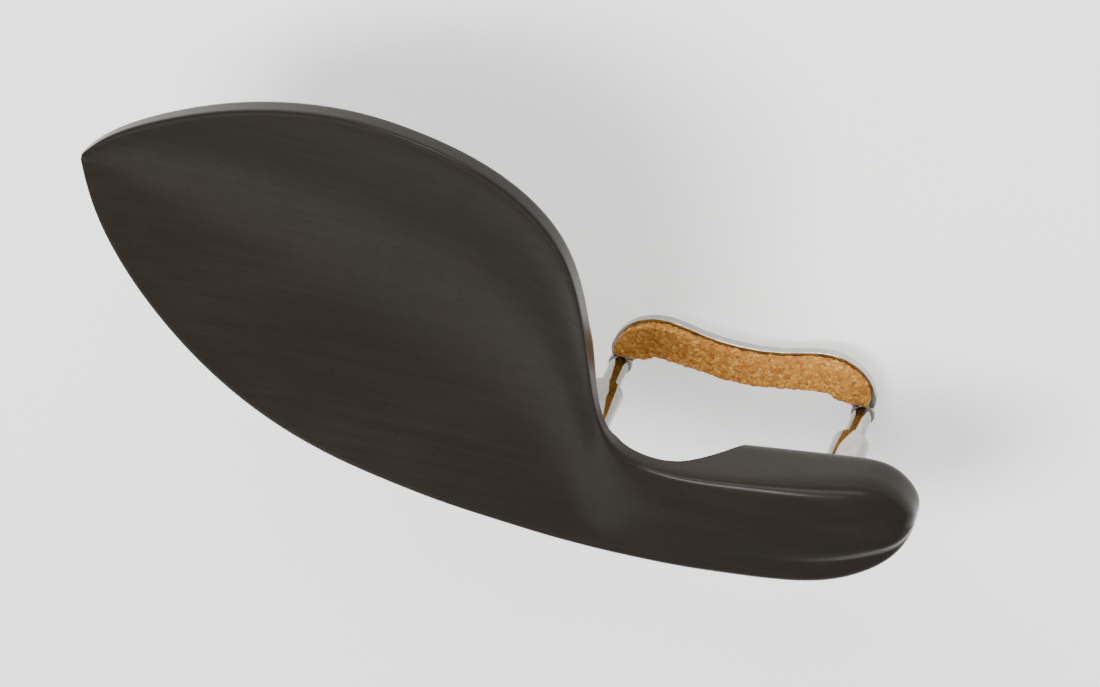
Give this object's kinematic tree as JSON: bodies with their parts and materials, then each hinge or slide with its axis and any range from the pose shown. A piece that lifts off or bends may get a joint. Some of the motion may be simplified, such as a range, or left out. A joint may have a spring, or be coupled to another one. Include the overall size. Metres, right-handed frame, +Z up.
{
  "type": "violin chin rest",
  "caption": "Ebony chin rest with a dished plate and an arm over the tailpiece, held to the violin's edge by a cork-lined turnbuckle clamp.",
  "frame": {"origin": "on the plane of the violin's top, midway between the two clamp posts", "axes": "+Z up from the violin's top, +Y towards the scroll, +X towards the treble side"},
  "size_m": [0.1292, 0.073, 0.0616],
  "materials": {
    "ebony": "satin polished",
    "cork": "matt granulated",
    "chromed_steel": "mirror",
    "screw_steel": "satin"
  },
  "bodies": {
    "rest": {"chin_plate": "ebony", "upper_bracket": "chromed_steel", "left_wood_screw": "screw_steel", "right_wood_screw": "screw_steel", "left_top_cork": "cork", "right_top_cork": "cork", "left_upper_stud": "chromed_steel", "right_upper_stud": "chromed_steel"},
    "left_barrel": {"left_barrel": "chromed_steel"},
    "right_barrel": {"right_barrel": "chromed_steel"},
    "lower_clamp": {"lower_bracket": "chromed_steel", "lower_cork_pad": "cork", "left_lower_rod": "chromed_steel", "right_lower_rod": "chromed_steel"}
  },
  "joints": [
    {"name": "clamp_slide", "type": "slide", "parent": "rest", "child": "lower_clamp", "axis": [0, 0, 1], "range_m": [-0.005, 0.005]},
    {"name": "left_barrel_spin", "type": "hinge", "parent": "rest", "child": "left_barrel", "pos_m": [-0.02, 0, -0.0163], "axis": [0, 0, 1], "range_deg": [-1800.1, 1800.1]},
    {"name": "right_barrel_spin", "type": "hinge", "parent": "rest", "child": "right_barrel", "pos_m": [0.02, 0, -0.0163], "axis": [0, 0, 1], "range_deg": [-1800.1, 1800.1]}
  ],
  "couplings": [
    {"joint": "left_barrel_spin", "follows": "clamp_slide", "rad_per_m": 6283.2},
    {"joint": "right_barrel_spin", "follows": "clamp_slide", "rad_per_m": 6283.2}
  ]
}
